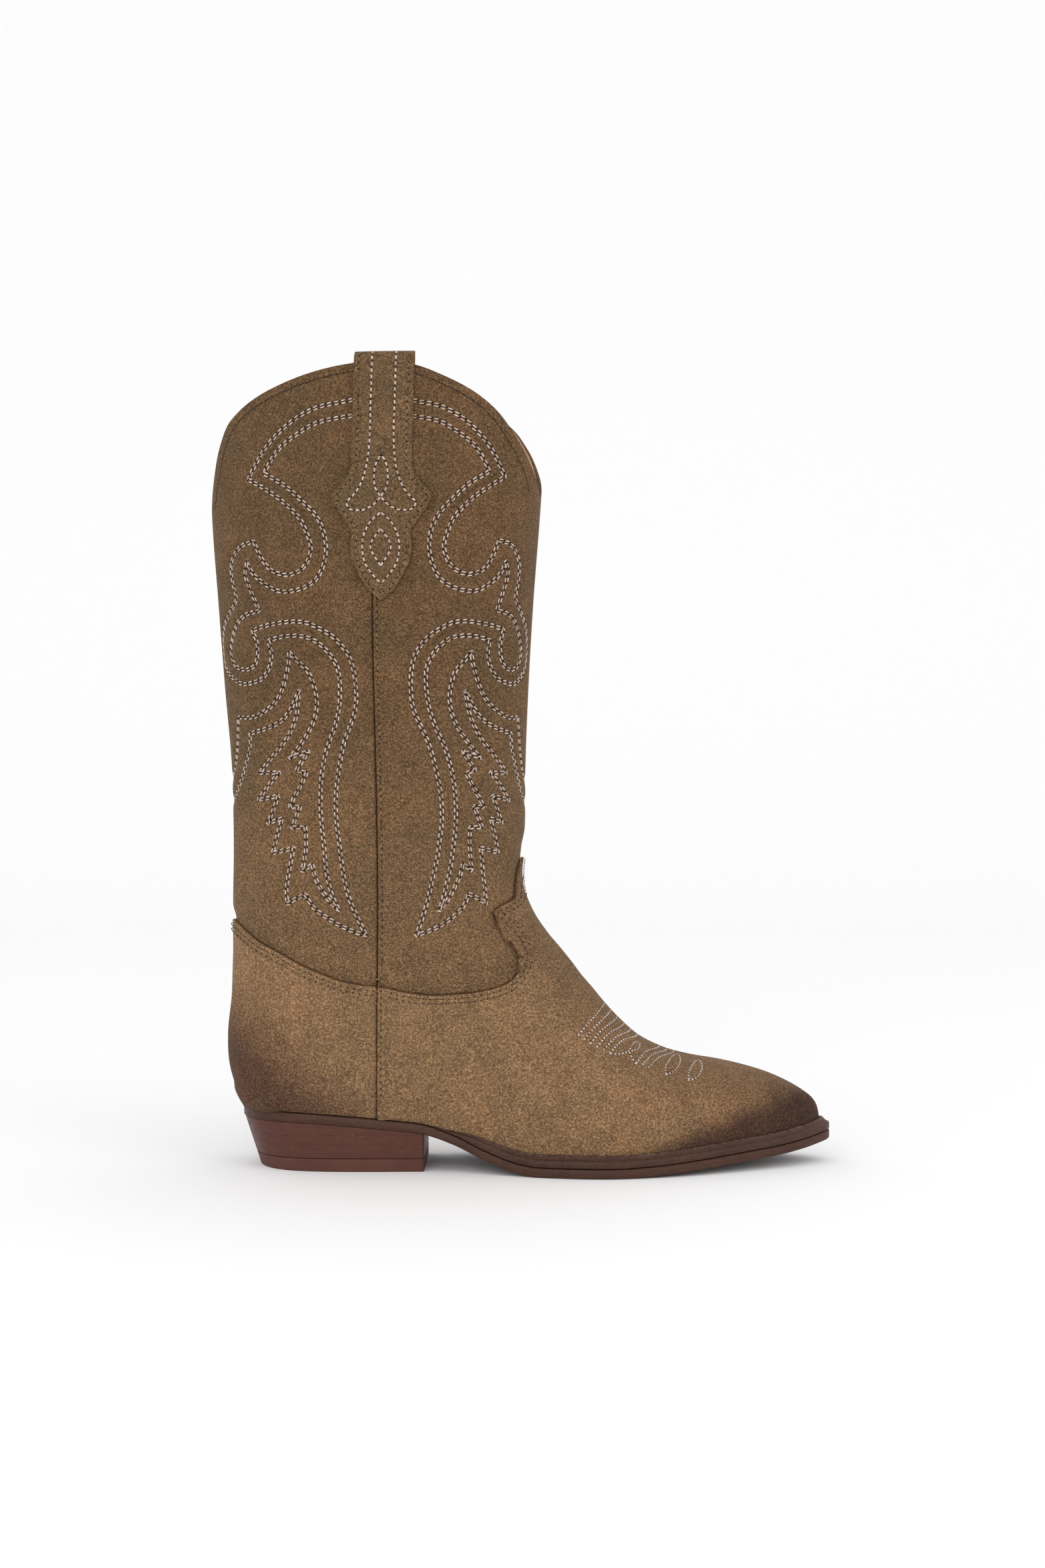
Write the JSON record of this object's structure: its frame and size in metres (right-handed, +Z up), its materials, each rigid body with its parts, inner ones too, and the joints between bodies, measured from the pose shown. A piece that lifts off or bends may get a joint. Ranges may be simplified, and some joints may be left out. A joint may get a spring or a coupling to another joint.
{
  "type": "cowboy boot",
  "caption": "Right western pull-on boot in suede leather: scalloped shaft with pull straps, vamp with pointed toe, welted leather sole and low underslung stacked heel.",
  "frame": {"origin": "on the floor, under the middle of the boot's length and width", "axes": "+X towards the toe, +Z up, +Y towards the wearer's inner side"},
  "size_m": [0.2934, 0.097, 0.376],
  "materials": {
    "suede": "napped suede, olive brown",
    "lining": "smooth vegetable-tanned lining leather",
    "stiffener_board": "pressed leather board",
    "cork": "pressed cork",
    "welt_leather": "dark brown edge stain, worn lighter on the lip",
    "sole_leather": "waxed dark brown edge",
    "heel_leather": "waxed brown stacked leather",
    "top_lift_rubber": "brown rubber",
    "steel": "plain steel"
  },
  "bodies": {
    "root": {"shaft_front_panel": "suede", "shaft_back_panel": "suede", "vamp": "suede", "heel_cover": "suede", "pull_strap_outer": "suede", "pull_strap_inner": "suede", "shaft_front_lining": "lining", "shaft_back_lining": "lining", "vamp_lining": "lining", "heel_lining": "lining", "toe_puff": "stiffener_board", "heel_stiffener": "stiffener_board", "insole_board": "stiffener_board", "sock_liner": "lining", "shank": "steel", "cork_filler": "cork", "welt": "welt_leather", "outsole": "sole_leather", "heel_block": "heel_leather", "heel_top_lift": "top_lift_rubber", "heel_nail_1": "steel", "heel_nail_2": "steel", "heel_nail_3": "steel", "heel_nail_4": "steel", "heel_nail_5": "steel", "heel_nail_6": "steel"}
  },
  "joints": []
}
